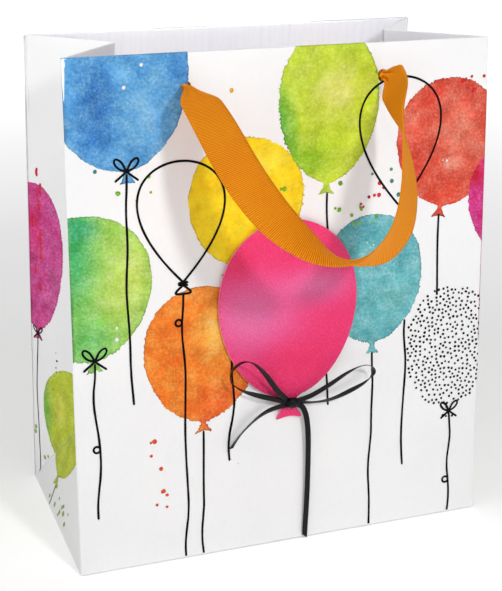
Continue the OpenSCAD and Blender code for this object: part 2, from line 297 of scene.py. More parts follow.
class Nodes:
    """Short names for the few node chains used below."""

    def __init__(self, m):
        self.t = m.node_tree
        self.b = self.t.nodes["Principled BSDF"]

    def add(self, kind, **values):
        n = self.t.nodes.new(kind)
        for k, v in values.items():
            if hasattr(n, k):
                setattr(n, k, v)
            else:
                n.inputs[k.replace("_", " ")].default_value = v
        return n

    def link(self, a, b):
        self.t.links.new(a, b)

    def coords(self, kind="Object", scale=(1, 1, 1)):
        src = self.add("ShaderNodeUVMap", uv_map="flat") if kind == "flat" else self.add("ShaderNodeTexCoord")
        out = src.outputs["UV"] if kind == "flat" else src.outputs[kind]
        m = self.add("ShaderNodeMapping")
        m.inputs["Scale"].default_value = scale
        self.link(out, m.inputs["Vector"])
        return m.outputs["Vector"]

    def noise(self, vec, scale, detail=3.0, rough=0.55):
        n = self.add("ShaderNodeTexNoise", Scale=scale, Detail=detail, Roughness=rough)
        self.link(vec, n.inputs["Vector"])
        return n.outputs["Fac"]

    def ramp(self, fac, stops):
        r = self.add("ShaderNodeValToRGB")
        while len(r.color_ramp.elements) < len(stops):
            r.color_ramp.elements.new(0.5)
        for e, (pos, col) in zip(r.color_ramp.elements, stops):
            e.position = pos
            e.color = (*lin(col), 1)
        self.link(fac, r.inputs["Fac"])
        return r.outputs["Color"]

    def span(self, fac, lo, hi, to_lo, to_hi):
        r = self.add("ShaderNodeMapRange")
        for k, v in zip(("From Min", "From Max", "To Min", "To Max"), (lo, hi, to_lo, to_hi)):
            r.inputs[k].default_value = v
        self.link(fac, r.inputs["Value"])
        return r.outputs["Result"]

    def math(self, op, a, b=None, v=0.0):
        n = self.add("ShaderNodeMath", operation=op)
        self.link(a, n.inputs[0])
        if b is not None:
            self.link(b, n.inputs[1])
        else:
            n.inputs[1].default_value = v
        return n.outputs["Value"]

    def sum(self, a, share_a, b, share_b):
        return self.math("ADD", self.math("MULTIPLY", a, v=share_a), self.math("MULTIPLY", b, v=share_b))

    def mix(self, kind, fac, a, b):
        n = self.add("ShaderNodeMix", data_type="RGBA", blend_type=kind)
        if isinstance(fac, float):
            n.inputs[0].default_value = fac
        else:
            self.link(fac, n.inputs[0])
        for sock, v in ((n.inputs[6], a), (n.inputs[7], b)):
            if isinstance(v, tuple):
                sock.default_value = (*v, 1)
            else:
                self.link(v, sock)
        return n.outputs[2]

    def bump(self, height, strength, distance):
        n = self.add("ShaderNodeBump", Strength=strength, Distance=distance)
        self.link(height, n.inputs["Height"])
        self.link(n.outputs["Normal"], self.b.inputs["Normal"])

    def base(self, color):
        self.link(color, self.b.inputs["Base Color"])

    def rough(self, fac):
        self.link(fac, self.b.inputs["Roughness"])


def paper_material(name, a, b, rough, streaks=0.0, kind="Object"):
    """Paper of colour a with clouds of b, fine fibres and, inside the bag, faint upright streaks."""
    m = material(name, a, rough)
    n = Nodes(m)
    v = n.coords(kind)
    broad = n.noise(v, 22, 4)
    fibre = n.noise(n.coords(kind, (1, 1, 0.25)), 900, 3, 0.7)
    fac = n.sum(broad, 0.6, fibre, 0.4)
    col = n.ramp(fac, [(0.3, b), (0.62, a)])
    if streaks:
        s = n.noise(n.coords(kind, (1, 1, 0.03)), 420, 3, 0.6)
        col = n.mix("MIX", n.span(s, 0.42, 0.66, 0.0, streaks), col, tuple(lin((198, 196, 212))))
    n.base(col)
    n.rough(n.span(broad, 0.3, 0.7, rough - 0.05, rough + 0.07))
    n.bump(n.sum(broad, 0.7, fibre, 0.3), 0.22, 0.00012)
    return m


PRINTED = paper_material("coated_paper", (252, 252, 252), (245, 245, 246), 0.42)
PRINTED_FLAT = paper_material("coated_paper_gusset", (252, 252, 252), (245, 245, 246), 0.42, kind="flat")
INSIDE = paper_material("inside_paper", (252, 251, 254), (247, 246, 252), 0.75, streaks=0.12)
INSIDE_FLAT = paper_material("inside_paper_gusset", (252, 251, 254), (247, 246, 252), 0.75, streaks=0.06,
                             kind="flat")


def board_material():
    m = material("grey_board", (188, 184, 176), 0.9)
    n = Nodes(m)
    v = n.coords()
    spots = n.noise(v, 1400, 4, 0.7)
    broad = n.noise(v, 60, 3)
    n.base(n.ramp(n.sum(spots, 0.65, broad, 0.35),
                  [(0.3, (150, 145, 136)), (0.55, (190, 186, 178)), (0.75, (208, 205, 198))]))
    n.bump(spots, 0.5, 0.0002)
    return m


def paint_material():
    """The painted colour of each point, thinned and thickened by the paper's grain."""
    m = material("watercolour_print", (255, 255, 255), 0.55, Specular_IOR_Level=0.25)
    n = Nodes(m)
    a = n.add("ShaderNodeAttribute", attribute_name="paint")
    v = n.coords("flat")
    grain = n.noise(v, 700, 6, 0.8)
    cloud = n.noise(v, 120, 5, 0.6)
    density = n.sum(grain, 0.62, cloud, 0.38)
    gamma = n.add("ShaderNodeGamma")
    n.link(a.outputs["Color"], gamma.inputs["Color"])
    n.link(n.span(density, 0.4, 0.6, 0.62, 1.36), gamma.inputs["Gamma"])
    n.base(gamma.outputs["Color"])
    n.bump(grain, 0.12, 0.0001)
    return m


def ink_material():
    m = material("black_ink", (10, 10, 12), 0.6, Specular_IOR_Level=0.08)
    n = Nodes(m)
    n.base(n.ramp(n.noise(n.coords("flat"), 700, 3), [(0.3, (4, 4, 6)), (0.75, (16, 16, 20))]))
    return m


THREAD = 0.32 * MM


def grosgrain_material():
    """Ribs run across the ribbon; the flat map's U is the length, so the ribs are waves in U."""
    m = material("grosgrain", (244, 146, 10), 0.62, Specular_IOR_Level=0.2)
    n = Nodes(m)
    uv = n.add("ShaderNodeUVMap", uv_map="flat")
    sep = n.add("ShaderNodeSeparateXYZ")
    n.link(uv.outputs["UV"], sep.inputs[0])
    turns = n.math("MULTIPLY", sep.outputs["X"], v=2 * math.pi / (RIB * MM))
    rib = n.span(n.math("COSINE", turns), -1, 1, 0, 1)
    threads = n.math("SINE", n.math("MULTIPLY", sep.outputs["Y"], v=2 * math.pi / THREAD))
    thread = n.span(threads, -1, 1, 0, 1)
    fuzz = n.noise(n.coords("flat"), 2600, 3, 0.7)
    broad = n.noise(n.coords("flat"), 45, 2)
    # the colour follows the ribs' height: the grooves between the ribs are painted darker as shade and the
    # crests lighter as highlight, mixed with random fuzz
    light = n.sum(rib, 0.62, fuzz, 0.38)
    col = n.ramp(light, [(0.08, (184, 84, 0)), (0.42, (236, 138, 0)), (0.85, (254, 168, 8))])
    col = n.mix("MULTIPLY", n.span(broad, 0.3, 0.7, 0.35, 0.0), col, tuple(lin((248, 222, 196))))
    n.base(col)
    n.rough(n.span(fuzz, 0.2, 0.8, 0.5, 0.72))
    h = n.sum(rib, 0.8, thread, 0.2)
    n.bump(h, 0.7, 0.00022)
    return m


def satin_material():
    m = material("black_satin", (14, 14, 16), 0.34, Specular_IOR_Level=0.18, Anisotropic=0.3)
    n = Nodes(m)
    s = n.noise(n.coords("flat", (0.06, 1, 1)), 5200, 3, 0.6)
    n.base(n.ramp(s, [(0.3, (6, 6, 8)), (0.7, (22, 22, 27))]))
    n.rough(n.span(s, 0.25, 0.75, 0.24, 0.42))
    n.bump(s, 0.35, 0.00008)
    return m


def card_material():
    """Card with a pebbled grain: warped cells with soft valleys between them, the valleys painted a little
    darker as shade.
    """
    m = material("embossed_card", (240, 48, 112), 0.34, Specular_IOR_Level=0.45)
    n = Nodes(m)
    v = n.coords()
    warp = n.noise(v, 350, 2)
    grain = n.add("ShaderNodeTexVoronoi", feature="DISTANCE_TO_EDGE", Scale=760.0, Randomness=1.0)
    mixv = n.add("ShaderNodeVectorMath", operation="MULTIPLY_ADD")
    n.link(warp, mixv.inputs[0])
    mixv.inputs[1].default_value = (0.0009, 0.0009, 0.0009)
    n.link(v, mixv.inputs[2])
    n.link(mixv.outputs["Vector"], grain.inputs["Vector"])
    cells = n.span(grain.outputs["Distance"], 0.0, 0.3, 0, 1)
    soft = n.noise(n.coords("Object", (1, 1, 1)), 1500, 2)
    h = n.sum(cells, 0.75, soft, 0.35)
    a = n.add("ShaderNodeAttribute", attribute_name="paint")
    # painted shade: the ramp on cells darkens the valleys between the grain's cells
    col = n.mix("MULTIPLY", 1.0, a.outputs["Color"],
                n.ramp(cells, [(0.0, (240, 228, 234)), (0.6, (252, 251, 252)), (1.0, (255, 255, 255))]))
    n.base(col)
    n.rough(n.span(soft, 0.3, 0.7, 0.3, 0.44))
    n.bump(h, 0.7, 0.0004)
    return m


def foam_material():
    m = material("foam", (240, 240, 236), 0.95)
    n = Nodes(m)
    p = n.add("ShaderNodeTexVoronoi", Scale=1600.0)
    n.link(n.coords(), p.inputs["Vector"])
    # the pores, dents in the bump, are painted darker as shade in them
    n.base(n.ramp(p.outputs["Distance"], [(0.0, (214, 214, 208)), (0.4, (244, 244, 240))]))
    n.bump(p.outputs["Distance"], 0.8, 0.0003)
    return m


BOARD_MAT = board_material()
PAINT = paint_material()
INK = ink_material()
GROSGRAIN = grosgrain_material()
SATIN = satin_material()
CARD = card_material()
FOAM = foam_material()


# ---------------------------------------------------------------- ribbons
def no_shift(s, total, v):
    return np.zeros(np.broadcast(s, v).shape)


def ribbon(name, mat, route, dirs, width, thick, step, cols, place, profile=no_shift, taper=no_shift, rib=0):
    """A flat band along a route of (across, out, up) points on the front wall, in mm. profile(s, total, v)
    shifts it along its normal and taper along its length. width may be a function; rib is a rib's height."""
    pts = wall(*np.asarray(route, float)[:, [0, 2, 1]].T)
    d = np.asarray(dirs, float)
    way = wall(d[:, 0], d[:, 2], d[:, 1]) - wall(0, 0, 0)
    line, s, way = resample(catmull(pts, 12), step, catmull(way, 12))
    total = s[-1]
    tan = unit(np.gradient(line, axis=0))
    way = unit(way - (way * tan).sum(1, keepdims=True) * tan)
    nor = np.cross(tan, way)
    v = np.linspace(-1, 1, cols)
    w = width(s, total) if callable(width) else np.full(len(s), float(width))
    shift = profile(s[:, None], total, v[None, :])
    along = taper(s[:, None], total, v[None, :])
    mid = line[:, None] + way[:, None] * (w[:, None] / 2 * v)[..., None] + nor[:, None] * shift[..., None]
    mid = mid + tan[:, None] * along[..., None]
    normal = unit(np.cross(np.gradient(mid, axis=0), np.gradient(mid, axis=1)))
    thin_edge = 1 - 0.55 * (np.abs(v) > 0.999)
    ribs = rib / 2 * np.cos(2 * math.pi * s / RIB)
    half = (thick / 2 * thin_edge)[None, :, None] + ribs[:, None, None]
    verts = np.concatenate([(mid + normal * half).reshape(-1, 3), (mid - normal * half).reshape(-1, 3)])
    obj = make(name, placed(verts, place), slab_faces(len(s), cols)[0], mat)
    uv = np.stack([np.repeat(s, cols), np.tile(v, len(s)) * np.repeat(w, cols) / 2], -1)
    set_uv(obj, np.concatenate([uv, uv + [0.31, 0]]))
    return obj, placed(line, place), total


# the handle's route, and how much of its width shows from the photo's side at each free point of it;
# below 0 it shows its other face
HANDLE = [
    (-50, 0.4, 0), (-50, 3, 0.2), (-49.8, 8, -0.8), (-48.5, 16, -5), (-45.5, 28, -15), (-42, 40, -27),
    (-36, 49, -40), (-27, 56, -53), (-15, 62, -64), (-3, 65, -70), (9, 65, -71), (21, 64, -67), (31, 59, -58),
    (37, 52, -46), (41, 43, -33), (45, 31, -19), (48.5, 18, -7), (49.9, 8, -0.8), (50, 3, 0.2), (50, 0.4, 0),
]
SHOWN = (0.55, 0.75, 0.88, 0.92, 0.92, 0.85, 0.62, 0.25, -0.12, -0.38, -0.42, -0.34, -0.2, 0.06, 0.55, 0.62)
HANDLE_W = 20
GATHERED_W = 5  # width of the handle ribbon where it goes through its hole


def handle_directions():
    """The way that the ribbon's width lies at each point of its route."""
    free = np.array(HANDLE[2:-2], float)
    along = unit(np.gradient(free, axis=0))
    eye = np.array(camera.matrix_world.translation) / MM
    to_eye = unit(np.array([eye[0], -eye[1] - HALF_D, eye[2] - HOLE_UP]) - free)
    flat = unit(np.cross(to_eye, along))
    flat = flat * np.sign(flat[0, 0])
    edge = (to_eye * along).sum(1)[:, None] * along - to_eye
    shown = np.array(SHOWN)[:, None]
    middle = shown * flat + np.sqrt(1 - shown ** 2) * edge
    return [(1, 0, 0), (1, -0.1, -0.1), *middle, (-0.3, -0.3, -0.9), (-0.3, 0, -0.95)]


HANDLE_DIR = handle_directions()


def handle(side):
    def open_share(s, total):
        return smoothstep((s - 3.5) / 15) * smoothstep((total - s - 2.5) / 9)

    def width(s, total):
        return GATHERED_W + (HANDLE_W - GATHERED_W) * open_share(s, total)

    def profile(s, total, v):
        shut = 1 - open_share(s, total)
        pleat = shut * (0.9 * np.cos(math.pi * 2.2 * v + 0.6) + 0.3 * np.sin(math.pi * 4.4 * v))
        curl = 0.7 * (1 - shut) * (v * v - 0.35) * np.cos(s / total * 5.2 + 0.4)
        flutter = 0.35 * (1 - shut) * np.sin(s / 21.0 + v * 1.3) * v
        return pleat + curl + flutter

    def slant(s, total, v):
        # the ribs lean a little across the band where it swings round its bends
        return 0.9 * v * np.sin(s / total * math.pi * 2) * open_share(s, total)

    route = [(x, out, HOLE_UP + up) for x, out, up in HANDLE]
    obj, line, total = ribbon(side + "_handle_ribbon", GROSGRAIN, route, HANDLE_DIR, width, 0.5, RIB / 4, 13,
                              side, profile, slant, rib=0.16)
    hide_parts(side + "_handle")
    a = placed(wall(0, HOLE_UP, 1.0), side) * MM
    b = placed(wall(0, HOLE_UP, 15.0), side) * MM
    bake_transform(obj)
    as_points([tuple(p * MM) for p in line[::8]] + [tuple(line[-1] * MM)])


handle("front")
handle("back")

# route and direction of the width of each ribbon of the bow
BOW = {
    "left_loop": (
        [(-1, 5, 76.5), (-8, 7.5, 84), (-15, 10, 94), (-21, 11, 100.5), (-26.5, 10, 102), (-31.5, 8.5, 98),
         (-32, 7, 92), (-27, 6.5, 87), (-18, 6, 82.5), (-9, 5.2, 79), (-1, 4.4, 76)],
        [(.7, .1, .7), (.7, .2, .7), (.6, .6, .4), (.2, .9, .3), (0, 1, .1), (-.1, 1, 0), (-.3, .9, .1),
         (-.3, .7, .5), (.1, .3, .9), (.2, .1, 1), (.2, 0, 1)]),
    "right_loop": (
        [(2.5, 5, 76.5), (10, 7, 79), (19, 9, 84), (28, 10.5, 89.5), (36, 10, 92), (42, 8.5, 90.5),
         (44, 7, 86.5), (40, 6, 81.5), (32, 5.6, 78), (22, 5.2, 75), (12, 4.8, 74.5), (2.5, 4.4, 76)],
        [(-.5, .1, .8), (-.5, .1, .8), (-.5, .2, .8), (-.4, .5, .7), (-.1, .9, .4), (.1, 1, .1),
         (.2, .9, .1), (-.4, .6, .7), (-.4, .2, .9), (-.3, .5, .8), (0, .7, .6), (0, .3, .9)]),
    "short_tail": (
        [(-2, 4.4, 74.5), (-8, 4.6, 74), (-14, 4.4, 72), (-20, 4, 68), (-26, 3.2, 62), (-31, 2.4, 55)],
        [(.1, .1, 1), (0, .2, 1), (-.2, .4, .8), (-.5, .6, .5), (-.6, .7, .3), (-.8, .4, .3)]),
    "long_tail": (
        [(3.5, 4.4, 74.5), (6.5, 4.6, 72.5), (8.6, 4.5, 67), (9.8, 4, 58), (10.3, 3.2, 46), (10.3, 2.4, 33),
         (10, 1.8, 20), (9.6, 1.4, 9), (9.3, 1.2, 1)],
        [(.4, 0, .9), (.8, 0, .5), (1, .1, .2), (1, .1, 0), *[(1, 0, 0)] * 5]),
}


def satin_curl(s, total, v):
    return 0.3 * (v * v - 0.4) * np.cos(s / 9.0)


def satin_cut(s, total, v):
    return 1.1 * v * smoothstep((s - total + 3) / 3)


for key, (route, dirs) in BOW.items():
    loop = "loop" in key
    obj, line, total = ribbon("satin_" + key, SATIN, route, dirs, 2.8, 0.28, 0.6, 7, "front", satin_curl,
                              no_shift if loop else satin_cut)
    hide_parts("bow_" + key)
    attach(obj, "front_wall")
    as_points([tuple(p * MM) for p in line[::3]] + [tuple(line[-1] * MM)])


# ---------------------------------------------------------------- paper walls
def sheet(name, cols, rows, fn, mats, turn, uv=None):
    """A closed folded sheet. rows are (up, off, n_up, n_off, hem) along its middle and fn(col, up, off, hem)
    gives points. mats are its outside and its inside; from row turn on both faces are inside."""
    rows = np.asarray(rows, float)
    verts = []
    for sign in (1, -1):
        up = rows[:, 0] + sign * PAPER / 2 * rows[:, 2]
        off = rows[:, 1] + sign * PAPER / 2 * rows[:, 3]
        verts += [fn(x, u, o, hem) for u, o, hem in zip(up, off, rows[:, 4]) for x in cols]
    faces, slots = slab_faces(len(rows), len(cols), turn)
    obj = make(name, verts, faces, mats, ids=slots)
    if uv is not None:
        set_uv(obj, [uv(x, row[0], row[4]) for row in rows for x in cols] * 2)
    sharp(obj, 50)
    return obj


def fold_rows(low, layer_gap, count, foot=()):
    """Rows up the outside, round the top edge and down the hem, and the row where the outside ends. The last
    number of a row is 0 outside and 1 in the hem."""
    rows = list(foot)
    r = (PAPER + layer_gap) / 2
    top = BAG_H - r - PAPER / 2
    rows += [(low + (top - low) * t, -PAPER / 2, 0, 1, 0) for t in np.linspace(0, 1, count)]
    turn = len(rows) + 3
    for a in np.linspace(0, math.pi, 8)[1:-1]:
        off = -PAPER / 2 - r + r * math.cos(a)
        rows.append((top + r * math.sin(a), off, math.sin(a), math.cos(a), a / math.pi))
    for t in np.linspace(0, 1, 10):
        rows.append((top - (top - BAG_H + HEM_H) * t, -PAPER / 2 - 2 * r, 0, -1, 1))
    return rows, turn


def wall_point(c, up, off, hem):
    """c runs from -1 to 1 over the flat width; beyond that the sheet turns the corner."""
    turned = max(0.0, abs(c) - 1) * math.pi / 2
    x = math.copysign(min(abs(c), 1) * (HALF_W - EDGE_R) + EDGE_R * math.sin(turned), c)
    off = off - EDGE_R * (1 - math.cos(turned))
    x *= 1 - 0.012 * hem
    return wall(x, up, off + float(bulge(x, up)))


def build_wall(side):
    foot = []
    for a in np.linspace(math.pi / 2, 0, 6)[:-1]:
        off = -PAPER / 2 - EDGE_R + EDGE_R * math.cos(a)
        foot.append((EDGE_R - EDGE_R * math.sin(a), off, -math.sin(a), math.cos(a), 0))
    rows, turn = fold_rows(EDGE_R, BOARD, 44, foot)
    cols = [-2, -1.8, -1.55, -1.3, -1.12] + list(np.linspace(-1, 1, 53)) + [1.12, 1.3, 1.55, 1.8, 2]
    obj = sheet(side + "_wall_paper", cols, rows, wall_point, [PRINTED, INSIDE], turn)
    cutter = bpy.data.meshes.new("punch")
    bm = bmesh.new()
    through = Matrix.Rotation(math.pi / 2 + math.asin(SIN), 4, "X").inverted()
    for x in (-HOLE_X, HOLE_X):
        at = Matrix.Translation(Vector(wall(x, HOLE_UP, -1.0)) * MM)
        bmesh.ops.create_cone(bm, cap_ends=True, segments=40, radius1=HOLE_R * MM, radius2=HOLE_R * MM,
                              depth=8 * MM, matrix=at @ through)
    bm.to_mesh(cutter)
    bm.free()
    tool = link(bpy.data.objects.new("punch", cutter))
    mod = obj.modifiers.new("holes", "BOOLEAN")
    mod.object, mod.operation, mod.solver = tool, "DIFFERENCE", "EXACT"
    done = bpy.data.meshes.new_from_object(obj.evaluated_get(bpy.context.evaluated_depsgraph_get()))
    obj.modifiers.clear()
    obj.data = done
    bpy.data.objects.remove(tool)
    if side == "back":
        obj.data.transform(Matrix.Scale(-1, 4, (0, 1, 0)))
        obj.data.flip_normals()
    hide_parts(side + "_panel", side + "_hem")
    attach(obj, side + "_wall")


build_wall("front")
build_wall("back")


def seam_strip():
    """The glued strip that closes the paper tube, inside the back wall, with skewed ends."""
    x0, x1 = -HALF_W + 3, -HALF_W + 18
    low, high = 4, BAG_H - HEM_H - 6
    rows = [(up, -PAPER * 1.5 - 0.02, 0, 1, 0) for up in np.linspace(low, high, 30)]

    def at(x, up, off, hem):
        skew = 5 * (x - x0) / (x1 - x0)
        mid = (low + high) / 2
        up = mid + (up - mid) * (1 - skew / (high - low) * 2)
        return placed(wall(x, up, off + float(bulge(x, up)) + 0.05 * math.sin(up / 9)), "back")

    obj = sheet("seam_strip", np.linspace(x0, x1, 7), rows, at, [INSIDE, INSIDE], 0)
    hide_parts("side_seam_flap")
    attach(obj, "back_wall")


seam_strip()


# ---------------------------------------------------------------- gussets
def corner(s):
    return np.array([-HALF_W, -HALF_D + s * SIN, CREASE_Z + s * COS])


def centre(s):
    g = HALF_D - s * SIN
    return np.array([-HALF_W + math.sqrt(max(HALF_D ** 2 - g * g, 0)), 0, CREASE_Z + s * COS])


MIR = np.array([1, -1, 1.0])
A0, A5, C5 = corner(0), corner(HALF_D), centre(HALF_D)


def left_gusset(q, s):
    """A point of the left gusset's outer face; q is across it, from -HALF_D (front) to HALF_D (back)."""
    a = abs(q) / HALF_D
    if s >= HALF_D:
        p = corner(s) * a + centre(s) * (1 - a)
    elif s / HALF_D >= 1 - a:
        w5 = 1 - a
        wa = s / HALF_D - w5
        p = A0 * (1 - w5 - wa) + A5 * wa + C5 * w5
    else:
        w = s / HALF_D
        b = A0 * MIR
        t = 0.5 + q / HALF_D / (2 * (1 - w))
        return A0 * (1 - w) * (1 - t) + b * (1 - w) * t + C5 * w
    return p * MIR if q > 0 else p


def gusset_normal(q, s):
    """The outward normal there, from two close points of the same flat part."""
    e = 0.6
    q1 = q - math.copysign(e, q) if abs(q) > 2 * e else q + math.copysign(e, q if q else -1)
    t = (s + abs(q)) / HALF_D
    up = e if (t >= 1 or s < 1) else -e
    a, b, c = left_gusset(q, s), left_gusset(q1, s), left_gusset(q, s + up)
    n = np.cross(b - a, c - a)
    n = n / max(np.linalg.norm(n), 1e-12)
    return -n if n[0] > 0 else n


def gusset_bow(q, s):
    """The paper of each half is slightly sprung between its creases."""
    rise = smoothstep((s - HALF_D) / 60) * (1 - smoothstep((s - BAG_H + HEM_H + 20) / 20))
    return -0.7 * math.sin(math.pi * min(abs(q) / HALF_D, 1)) * rise


def gusset_at(q, s, off):
    return left_gusset(q, s) + gusset_normal(q, s) * (off + gusset_bow(q, s))


def foot_hollow(q, s):
    """How far the paper of the triangle at the gusset's foot is sprung inwards."""
    across = min(max((q / HALF_D + 1) / 2, 0), 1)
    return 0.5 * math.sin(math.pi * s / HALF_D) * math.sin(math.pi * across)


FOOT_OUT = np.array([-1, 0, 0.3])
HALVES = {"front_left": "front", "back_left": "back", "front_right": "right", "back_right": "turn"}


BEND_FROM, BEND_TO = -151.0, 310.0  # two heights along the crease, from below its foot to above its top


def bend_half(obj, name):
    how = HALVES[name]
    a, b = placed(corner(BEND_FROM), how) * MM, placed(corner(BEND_TO), how) * MM
    tuple(a)
    tuple(b)
    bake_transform(obj)


def build_half(name):
    how = HALVES[name]
    rows, turn = fold_rows(0.0, 0.12, 46)
    cols = [0.004, 0.012, 0.03] + list(np.linspace(0.06, 0.96, 20)) + [0.985]

    def height(a, up, hem):
        foot = HALF_D * (1 - a)  # the half ends in a slanted crease there
        return foot + up * (BAG_H - foot) / BAG_H if hem == 0 else up

    def at(a, up, off, hem):
        s = max(height(a, up, hem), HALF_D * (1 - a) + 0.03)
        return placed(gusset_at(-max(a, 0.0004) * HALF_D, min(s, BAG_H + 3), off), how)

    def flat(a, up, hem):
        return a * HALF_D, height(a, up, hem)

    obj = sheet(name + "_gusset_paper", cols, rows, at, [PRINTED_FLAT, INSIDE_FLAT], turn, flat)
    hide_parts(name + "_gusset", name + "_gusset_hem")
    bend_half(obj, name)


for half in HALVES:
    build_half(half)


def build_triangle(side):
    n = 18
    how = "front" if side == "left" else "turn"
    verts, index = [], {}
    for layer, off in enumerate((0.0, -PAPER)):
        for i in range(n + 1):
            for j in range(n + 1 - i):
                s = HALF_D * i / n
                q = HALF_D * (-1 + i / n + 2 * j / n)
                index[layer, i, j] = len(verts)
                verts.append(left_gusset(q * 0.9995, s * 0.9995) + FOOT_OUT * (off - foot_hollow(q, s)))
    faces, ids = [], []
    for layer in (0, 1):
        for i in range(n):
            for j in range(n - i):
                faces.append((index[layer, i, j], index[layer, i, j + 1], index[layer, i + 1, j]))
                ids.append(layer)
                if j < n - i - 1:
                    faces.append((index[layer, i, j + 1], index[layer, i + 1, j + 1], index[layer, i + 1, j]))
                    ids.append(layer)
    rim = [(0, j) for j in range(n)] + [(i, n - i) for i in range(n)] + [(n - i, 0) for i in range(n)]
    for a, b in zip(rim, rim[1:] + rim[:1]):
        faces.append((index[(0, *a)], index[(0, *b)], index[(1, *b)], index[(1, *a)]))
        ids.append(0)
    obj = make(side + "_gusset_foot", placed(verts, how), faces, [PRINTED, INSIDE], ids=ids)
    sharp(obj, 50)
    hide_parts(side + "_triangle")
    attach(obj, side + "_gusset_triangle")


build_triangle("left")
build_triangle("right")


# ---------------------------------------------------------------- the print
BLACK = (0.004, 0.004, 0.006)


def egg(a, half_w, half_h):
    """The round part of a balloon at angles a from its top, wider above its middle than below."""
    return np.stack([np.sin(a) * half_w * (1 + 0.1 * np.cos(a)), np.cos(a) * half_h], -1)


def balloon(x, up, half_w, half_h, lean=0):
    """Outline of a painted balloon: an egg with a short flared neck under it; lean is in degrees."""
    neck = np.array([(-1.6, -0.5), (-2, -3), (-4, -6), (0, -5.2), (4, -6), (2, -3), (1.6, -0.5)])
    c, s = math.cos(math.radians(lean)), math.sin(math.radians(lean))
    shape = np.vstack([egg(np.radians(np.arange(168, -169, -12)), half_w, half_h), neck - (0, half_h)])
    return shape @ np.array([[c, s], [-s, c]]) + (x, up)


def drop(x, up, half_w, half_h):
    """A balloon drawn as one pen stroke, from its point at the bottom round and back to it."""
    a = np.radians(np.arange(0, 361, 15))
    wide = np.sin(a) * np.sin(a / 2) / 0.77  # 0.77 is the largest value of the product
    return np.stack([x - half_w * wide, up - half_h * np.cos(a)], -1)


def knot(x, up):
    """A knot under a drawn balloon: a scribble and a small triangle."""
    return [[(x - 2.5, up), (x + 2.4, up + 1.4), (x - 2.4, up + 1), (x + 2.5, up - 0.2)],
            [(x, up), (x - 3.8, up - 3.8), (x + 3.8, up - 3.8), (x, up)]]


def bow(x, up, size):
    """A small tied bow: two loops and two tails."""
    loop = np.array([(0, 0), (0.4, 0.75), (0.85, 1), (0.95, 0.7), (0.6, 0.25), (0, 0)]) * size
    tail = np.array([(0, 0), (0.5, -0.4), (0.95, -0.75)]) * size
    return [shape * (side, 1) + (x, up) for shape in (loop, tail) for side in (-1, 1)]


def string(x, up, low, seed, sway=3.0, curl=None):
    """A string that hangs from (x, up) to low and sways; it may turn once round a small curl."""
    line = []
    r = 1.6
    for s in np.linspace(up, low, int((up - low) / 8) + 3):
        line.append((x + sway * min((up - s) / 15, 1) * noise.noise(Vector((s / 28, seed * 3.7, 0.5))), s))
        if curl and s <= curl:
            px = line[-1][0]
            line += [(px - r + r * math.cos(a), s - r * math.sin(a)) for a in np.radians(range(45, 361, 45))]
            curl = None
    return line


def splash(print_on, rng, color, lift, middle, spread, count, size, sides=10):
    """Drops of paint thrown round one place."""
    for _ in range(count):
        x, up = np.array(middle) + rng.uniform(-1, 1, 2) * spread
        print_on.dot(x, up, size * rng.uniform(0.45, 1), color, lift, sides=sides)


# the painted balloons: across and up to the middle, half width, half height, lean
FILLS = {
    "yellow": (-21, 178, 29, 31, -14), "orange": (-44, 105, 29, 34, 0), "teal": (46, 133, 27, 33, 0),
    "green": (-102, 143, 34, 35, 7), "lime": (22, 221, 26, 37, -2), "blue": (-83, 240, 35, 43, 5),
    "red": (87, 199, 29, 32, -8), "magenta": (125, 167, 26, 30, 0),
}
STIPPLE = (90, 92, 25, 33)
# pen strokes: the drawn balloons, bows and strings
STROKES = [
    drop(-53, 171, 21.5, 29), *knot(-53, 140.5), string(-53, 136.5, 0, 1, curl=124),
    drop(60, 201, 22, 32), string(64, 110, 31, 2), string(-44, 66, 0, 3),
    *bow(-97, 108, 6), string(-97, 107, 28, 4, curl=70),
    *bow(-79, 197, 6), string(-79, 196, 84, 5), string(82, 163, 121, 6, sway=1),
    *bow(91, 57, 5), string(91, 56, 0, 7, curl=20), string(46, 95, 0, 8), string(21, 179, 70, 9),
    string(-29, 143, 48, 10),
]
# splashes on the wall: paint, middle, spread, how many, largest radius
SPLASHES = [
    ("greendots", (34, 172), (14, 12), 12, 1.4), ("greendots", (-75, 190), (10, 8), 4, 1.3),
    ("greendots", (48, 236), (2, 8), 3, 1.2), ("greendots", (0, 181), (5, 3), 2, 1.2),
    ("darkteal", (58, 176), (14, 18), 7, 1.3), ("darkteal", (-94, 200), (2, 2), 1, 1.4),
    ("reddots", (44, 178), (9, 9), 8, 1.1), ("reddots", (99, 226), (8, 5), 5, 1.2),
    ("orangered", (-68, 50), (5, 21), 8, 1.4), ("orangered", (-30, 49), (4, 6), 2, 0.4),
    ("yellowdot", (-28, 232), (1, 1), 1, 1.1), ("whites", (-70, 240), (10, 6), 2, 1.0),
    ("whites", (-84, 120), (4, 4), 2, 1.1), ("whites", (46, 152), (4, 4), 2, 0.8),
    ("whites", (86, 192), (4, 4), 2, 0.7),
]


def inside(p, poly):
    """Which points lie in a polygon."""
    x, y = p[:, 0], p[:, 1]
    hit = np.zeros(len(p), bool)
    for (x0, y0), (x1, y1) in zip(poly, np.roll(poly, -1, axis=0)):
        if y0 != y1:
            hit ^= ((y0 > y) != (y1 > y)) & (x < (x1 - x0) * (y - y0) / (y1 - y0) + x0)
    return hit


def edge_distance(p, poly):
    """How far each point is from the edge of a polygon."""
    best = np.full(len(p), 1e9)
    for a, b in zip(poly, np.roll(poly, -1, axis=0)):
        d = b - a
        t = np.clip(((p - a) @ d) / max(d @ d, 1e-9), 0, 1)
        best = np.minimum(best, np.linalg.norm(p - a - t[:, None] * d, axis=1))
    return best


